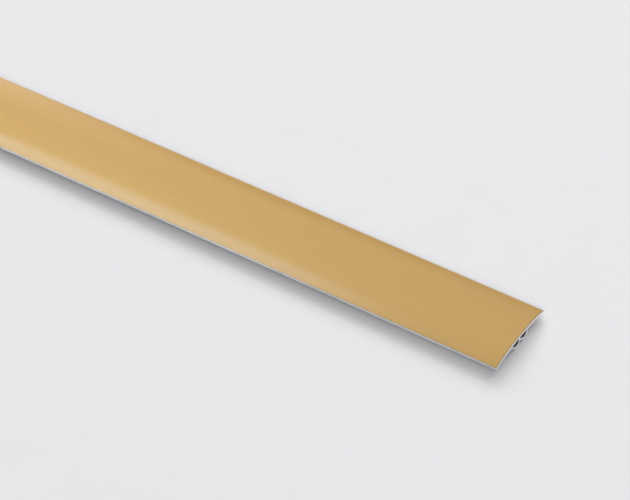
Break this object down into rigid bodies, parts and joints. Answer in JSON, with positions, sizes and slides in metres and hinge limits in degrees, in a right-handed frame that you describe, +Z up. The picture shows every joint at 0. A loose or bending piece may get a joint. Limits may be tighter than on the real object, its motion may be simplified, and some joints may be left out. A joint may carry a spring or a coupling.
{
  "type": "threshold strip",
  "caption": "Domed threshold strip with a satin gold face and hollow ribs underneath, bonded by foam tape over the joint between floors.",
  "frame": {"origin": "middle of the strip's length and width, on the surface that the strip lies on with its liners in place", "axes": "+X along the strip, towards the cut end that the picture shows; +Y across it, towards the rear long edge; +Z up, out of the gold face"},
  "size_m": [0.93, 0.04, 0.0044],
  "materials": {
    "aluminium": "extruded, with sawn ends",
    "gold_face": "satin metallic gold",
    "foam": "closed-cell foam",
    "liner": "silicone-coated paper"
  },
  "bodies": {
    "root": {"aluminium_profile": "aluminium", "gold_film": "gold_face", "foam_tape_front": "foam", "foam_tape_rear": "foam", "release_liner_front": "liner", "release_liner_rear": "liner"}
  },
  "joints": []
}
